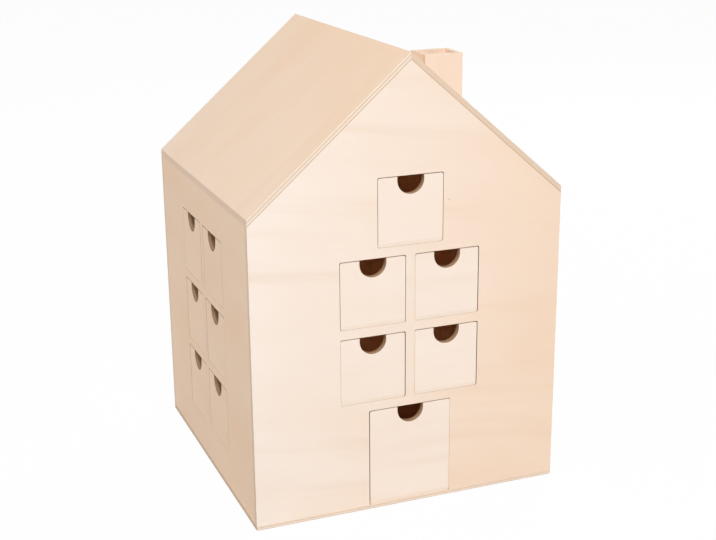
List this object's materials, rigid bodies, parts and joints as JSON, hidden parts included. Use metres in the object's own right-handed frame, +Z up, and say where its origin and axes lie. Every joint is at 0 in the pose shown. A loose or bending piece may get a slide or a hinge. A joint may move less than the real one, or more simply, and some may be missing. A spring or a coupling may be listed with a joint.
{
  "type": "wooden advent calendar",
  "caption": "Gabled plywood house with a hollow chimney and small pull-out drawers with finger notches in all its walls, for counting down the days to Christmas.",
  "frame": {"origin": "middle of the underside of the base", "axes": "+Z up, the gabled front with the door faces -Y, +X to the right of someone facing that front"},
  "size_m": [0.3, 0.3, 0.421],
  "materials": {
    "walls": "raw sanded plywood",
    "roof": "raw sanded plywood",
    "drawer_fronts": "raw sanded plywood",
    "drawer_boxes": "raw thin plywood",
    "inner_boards": "raw plywood"
  },
  "bodies": {
    "house": {"front_panel": "walls", "back_panel": "walls", "left_panel": "walls", "right_panel": "walls", "base_panel": "walls", "roof_left": "roof", "roof_right": "roof", "chimney": "roof", "shelves": "inner_boards", "cheeks": "inner_boards", "dividers": "inner_boards", "core_walls": "inner_boards"},
    "drawer_01": {"drawer_01_front": "drawer_fronts", "drawer_01_box": "drawer_boxes"},
    "drawer_02": {"drawer_02_front": "drawer_fronts", "drawer_02_box": "drawer_boxes"},
    "drawer_03": {"drawer_03_front": "drawer_fronts", "drawer_03_box": "drawer_boxes"},
    "drawer_04": {"drawer_04_front": "drawer_fronts", "drawer_04_box": "drawer_boxes"},
    "drawer_05": {"drawer_05_front": "drawer_fronts", "drawer_05_box": "drawer_boxes"},
    "drawer_06": {"drawer_06_front": "drawer_fronts", "drawer_06_box": "drawer_boxes"},
    "drawer_07": {"drawer_07_front": "drawer_fronts", "drawer_07_box": "drawer_boxes"},
    "drawer_08": {"drawer_08_front": "drawer_fronts", "drawer_08_box": "drawer_boxes"},
    "drawer_09": {"drawer_09_front": "drawer_fronts", "drawer_09_box": "drawer_boxes"},
    "drawer_10": {"drawer_10_front": "drawer_fronts", "drawer_10_box": "drawer_boxes"},
    "drawer_11": {"drawer_11_front": "drawer_fronts", "drawer_11_box": "drawer_boxes"},
    "drawer_12": {"drawer_12_front": "drawer_fronts", "drawer_12_box": "drawer_boxes"},
    "drawer_13": {"drawer_13_front": "drawer_fronts", "drawer_13_box": "drawer_boxes"},
    "drawer_14": {"drawer_14_front": "drawer_fronts", "drawer_14_box": "drawer_boxes"},
    "drawer_15": {"drawer_15_front": "drawer_fronts", "drawer_15_box": "drawer_boxes"},
    "drawer_16": {"drawer_16_front": "drawer_fronts", "drawer_16_box": "drawer_boxes"},
    "drawer_17": {"drawer_17_front": "drawer_fronts", "drawer_17_box": "drawer_boxes"},
    "drawer_18": {"drawer_18_front": "drawer_fronts", "drawer_18_box": "drawer_boxes"},
    "drawer_19": {"drawer_19_front": "drawer_fronts", "drawer_19_box": "drawer_boxes"},
    "drawer_20": {"drawer_20_front": "drawer_fronts", "drawer_20_box": "drawer_boxes"},
    "drawer_21": {"drawer_21_front": "drawer_fronts", "drawer_21_box": "drawer_boxes"},
    "drawer_22": {"drawer_22_front": "drawer_fronts", "drawer_22_box": "drawer_boxes"},
    "drawer_23": {"drawer_23_front": "drawer_fronts", "drawer_23_box": "drawer_boxes"},
    "drawer_24": {"drawer_24_front": "drawer_fronts", "drawer_24_box": "drawer_boxes"}
  },
  "joints": [
    {"name": "drawer_01_slide", "type": "slide", "parent": "house", "child": "drawer_01", "axis": [0, -1, 0], "range_m": [0, 0.072]},
    {"name": "drawer_02_slide", "type": "slide", "parent": "house", "child": "drawer_02", "axis": [0, -1, 0], "range_m": [0, 0.072]},
    {"name": "drawer_03_slide", "type": "slide", "parent": "house", "child": "drawer_03", "axis": [0, -1, 0], "range_m": [0, 0.072]},
    {"name": "drawer_04_slide", "type": "slide", "parent": "house", "child": "drawer_04", "axis": [0, -1, 0], "range_m": [0, 0.072]},
    {"name": "drawer_05_slide", "type": "slide", "parent": "house", "child": "drawer_05", "axis": [0, -1, 0], "range_m": [0, 0.072]},
    {"name": "drawer_06_slide", "type": "slide", "parent": "house", "child": "drawer_06", "axis": [0, -1, 0], "range_m": [0, 0.072]},
    {"name": "drawer_07_slide", "type": "slide", "parent": "house", "child": "drawer_07", "axis": [-1, 0, 0], "range_m": [0, 0.072]},
    {"name": "drawer_08_slide", "type": "slide", "parent": "house", "child": "drawer_08", "axis": [-1, 0, 0], "range_m": [0, 0.072]},
    {"name": "drawer_09_slide", "type": "slide", "parent": "house", "child": "drawer_09", "axis": [-1, 0, 0], "range_m": [0, 0.072]},
    {"name": "drawer_10_slide", "type": "slide", "parent": "house", "child": "drawer_10", "axis": [-1, 0, 0], "range_m": [0, 0.072]},
    {"name": "drawer_11_slide", "type": "slide", "parent": "house", "child": "drawer_11", "axis": [-1, 0, 0], "range_m": [0, 0.072]},
    {"name": "drawer_12_slide", "type": "slide", "parent": "house", "child": "drawer_12", "axis": [-1, 0, 0], "range_m": [0, 0.072]},
    {"name": "drawer_13_slide", "type": "slide", "parent": "house", "child": "drawer_13", "axis": [0, 1, 0], "range_m": [0, 0.072]},
    {"name": "drawer_14_slide", "type": "slide", "parent": "house", "child": "drawer_14", "axis": [0, 1, 0], "range_m": [0, 0.072]},
    {"name": "drawer_15_slide", "type": "slide", "parent": "house", "child": "drawer_15", "axis": [0, 1, 0], "range_m": [0, 0.072]},
    {"name": "drawer_16_slide", "type": "slide", "parent": "house", "child": "drawer_16", "axis": [0, 1, 0], "range_m": [0, 0.072]},
    {"name": "drawer_17_slide", "type": "slide", "parent": "house", "child": "drawer_17", "axis": [0, 1, 0], "range_m": [0, 0.072]},
    {"name": "drawer_18_slide", "type": "slide", "parent": "house", "child": "drawer_18", "axis": [0, 1, 0], "range_m": [0, 0.072]},
    {"name": "drawer_19_slide", "type": "slide", "parent": "house", "child": "drawer_19", "axis": [1, 0, 0], "range_m": [0, 0.072]},
    {"name": "drawer_20_slide", "type": "slide", "parent": "house", "child": "drawer_20", "axis": [1, 0, 0], "range_m": [0, 0.072]},
    {"name": "drawer_21_slide", "type": "slide", "parent": "house", "child": "drawer_21", "axis": [1, 0, 0], "range_m": [0, 0.072]},
    {"name": "drawer_22_slide", "type": "slide", "parent": "house", "child": "drawer_22", "axis": [1, 0, 0], "range_m": [0, 0.072]},
    {"name": "drawer_23_slide", "type": "slide", "parent": "house", "child": "drawer_23", "axis": [1, 0, 0], "range_m": [0, 0.072]},
    {"name": "drawer_24_slide", "type": "slide", "parent": "house", "child": "drawer_24", "axis": [1, 0, 0], "range_m": [0, 0.072]}
  ]
}
